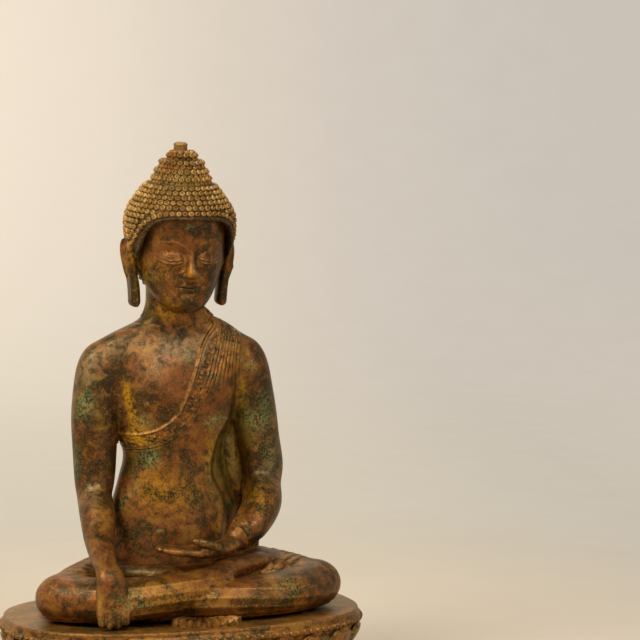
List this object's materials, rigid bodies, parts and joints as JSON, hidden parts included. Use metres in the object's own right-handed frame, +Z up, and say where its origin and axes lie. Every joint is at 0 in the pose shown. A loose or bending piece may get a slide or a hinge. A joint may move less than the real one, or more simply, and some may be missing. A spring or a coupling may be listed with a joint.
{
  "type": "seated buddha statue",
  "caption": "Seated Buddha with curled hair, topknot and one bare shoulder, right hand to the ground, on an oval lotus pedestal, in antiqued bronze.",
  "frame": {"origin": "middle of the pedestal's footprint, on the surface the statue stands on", "axes": "+Z up to the topknot, +X towards the figure's left, -Y the way the figure faces"},
  "size_m": [0.206, 0.14, 0.3006],
  "materials": {
    "bronze": "antiqued cast bronze: dark brown patina over ochre in the recesses, with spots of verdigris",
    "pedestal_bronze": "antiqued cast bronze, a little darker and rubbed bare on the bead row",
    "knob_bronze": "ochre bronze, dull",
    "pin_bronze": "bronze, filed flush and patinated",
    "iron": "rusted iron",
    "cedar": "bare cedar",
    "paper": "aged paper",
    "silk": "dyed silk band",
    "copper": "hammered copper sheet, tarnished",
    "tack_copper": "copper, tarnished"
  },
  "bodies": {
    "root": {"finial": "knob_bronze", "head": "bronze", "torso": "bronze", "right_arm": "bronze", "left_arm": "bronze", "lap": "bronze", "pedestal": "pedestal_bronze", "neck_pin": "pin_bronze", "right_arm_pin": "pin_bronze", "left_arm_pin": "pin_bronze", "waist_pins": "pin_bronze", "tang_wedges": "pin_bronze", "core_pins": "iron", "core_plugs": "pin_bronze", "life_stick": "cedar", "chest_rolls": "paper", "lap_rolls": "paper", "pedestal_rolls": "paper", "roll_ties": "silk", "base_plate": "copper", "plate_tacks": "tack_copper"}
  },
  "joints": []
}
